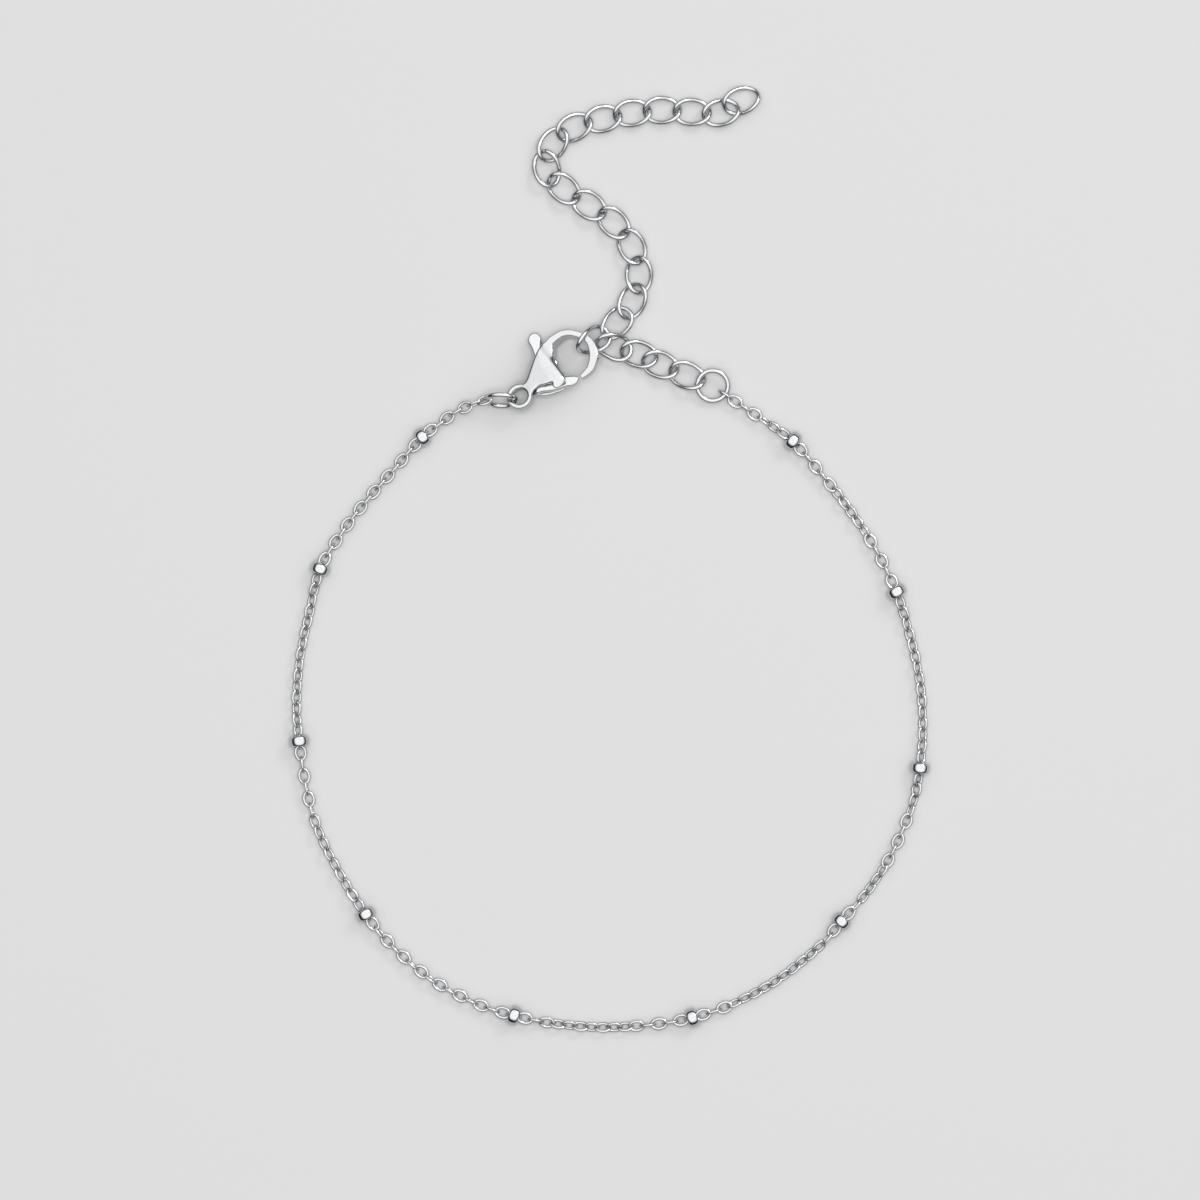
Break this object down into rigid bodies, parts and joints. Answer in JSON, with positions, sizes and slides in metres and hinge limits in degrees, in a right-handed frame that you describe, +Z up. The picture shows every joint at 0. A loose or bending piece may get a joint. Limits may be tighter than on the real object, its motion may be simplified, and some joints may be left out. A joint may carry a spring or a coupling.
{
  "type": "beaded anklet",
  "caption": "Fine steel cable chain anklet with small round beads, a lobster clasp on a jump ring and a curb chain for adjusting the size, laid open in a loop.",
  "frame": {"origin": "middle of the laid anklet's box, on the surface that it lies on", "axes": "+Z up from the surface, +Y along the longest extent towards the free end of the curb chain, +X to the right seen from above"},
  "size_m": [0.072, 0.1064, 0.0043],
  "materials": {
    "bead_steel": "mirror polished",
    "link_steel": "tumble polished",
    "chain_steel": "tumble polished",
    "clasp_steel": "polished"
  },
  "bodies": {
    "anklet": {"bead_01": "bead_steel", "bead_02": "bead_steel", "bead_03": "bead_steel", "bead_04": "bead_steel", "bead_05": "bead_steel", "bead_06": "bead_steel", "bead_07": "bead_steel", "bead_08": "bead_steel", "bead_09": "bead_steel", "bead_10": "bead_steel", "chain": "chain_steel", "chain_end_link_left": "chain_steel", "chain_end_link_right": "chain_steel", "clasp_body": "clasp_steel", "extender_link_01": "link_steel", "extender_link_02": "link_steel", "extender_link_03": "link_steel", "extender_link_04": "link_steel", "extender_link_05": "link_steel", "extender_link_06": "link_steel", "extender_link_07": "link_steel", "extender_link_08": "link_steel", "extender_link_09": "link_steel", "extender_link_10": "link_steel", "extender_link_11": "link_steel", "extender_link_12": "link_steel", "extender_link_13": "link_steel", "extender_link_14": "link_steel", "extender_link_15": "link_steel", "extender_link_16": "link_steel", "extender_link_17": "link_steel", "extender_link_18": "link_steel", "extender_link_19": "link_steel", "extender_link_20": "link_steel", "extender_link_21": "link_steel", "jump_ring_left": "link_steel", "jump_ring_right": "link_steel"},
    "clasp_lever": {"clasp_lever": "clasp_steel"}
  },
  "joints": [
    {"name": "clasp_lever_hinge", "type": "hinge", "parent": "anklet", "child": "clasp_lever", "pos_m": [-0.00703, 0.01955, 0.0027], "axis": [-0.2139, 0.2674, 0.9395], "range_deg": [0, 25], "stiffness_Nm_per_rad": 0.002}
  ]
}
